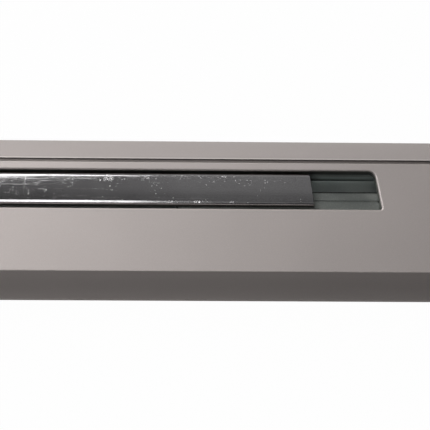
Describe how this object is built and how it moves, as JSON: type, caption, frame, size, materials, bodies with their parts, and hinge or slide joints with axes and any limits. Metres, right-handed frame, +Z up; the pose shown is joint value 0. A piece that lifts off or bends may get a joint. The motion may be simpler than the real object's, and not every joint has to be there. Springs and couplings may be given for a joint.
{
  "type": "utility knife",
  "caption": "Slim metal-bodied snap-off utility knife with an 18 mm scored blade, a sprung thumb slider in a long slot, and a pull-off end cap.",
  "frame": {"origin": "middle of the flat back face of the handle, halfway between the nose tip and the end of the cap", "axes": "X along the knife with the blade end at -X, Y across it with the spine at +Y and the cutting edge at -Y, Z up from the back face to the thumb face"},
  "size_m": [0.192, 0.0298, 0.0168],
  "materials": {
    "satin_paint": "fine satin warm grey paint",
    "cast_nose": "satin cast steel",
    "plated_steel": "blue passivated zinc plating",
    "polished_steel": "polished, finely scratched steel",
    "blade_steel": "ground and lightly oiled carbon steel",
    "spring_steel": "hardened spring steel",
    "fastener_steel": "nickel plated",
    "dark_plastic": "fine spark-eroded texture",
    "grip_rubber": "matte ribbed rubber"
  },
  "bodies": {
    "handle": {"front_shell": "satin_paint", "back_shell": "satin_paint", "nose_guide": "cast_nose", "nose_screws": "fastener_steel", "nose_pin": "fastener_steel", "blade_channel": "plated_steel", "rack_plate": "plated_steel", "rack_rivets": "fastener_steel", "channel_screws": "fastener_steel"},
    "carrier": {"snap_off_blade": "blade_steel", "carrier_plate": "plated_steel", "lock_spring": "spring_steel", "carrier_neck": "plated_steel", "carrier_strip": "polished_steel", "carrier_rivets": "fastener_steel"},
    "button": {"thumb_button": "dark_plastic", "button_pad": "grip_rubber", "button_retainer": "spring_steel"},
    "cap": {"end_cap": "dark_plastic", "breaker_plate": "plated_steel", "cap_latch": "spring_steel", "cap_rivet": "fastener_steel"}
  },
  "joints": [
    {"name": "blade_slide", "type": "slide", "parent": "handle", "child": "carrier", "axis": [-1, 0, 0], "range_m": [-0.01, 0.045], "deforming": ["lock_spring"]},
    {"name": "button_press", "type": "slide", "parent": "carrier", "child": "button", "axis": [0, 0, -1], "range_m": [0, 0.0007], "stiffness_N_per_m": 1500, "springref_m": -0.0005, "deforming": ["lock_spring"]},
    {"name": "cap_pull", "type": "slide", "parent": "handle", "child": "cap", "axis": [1, 0, 0], "range_m": [0, 0.012], "deforming": ["cap_latch"]}
  ]
}
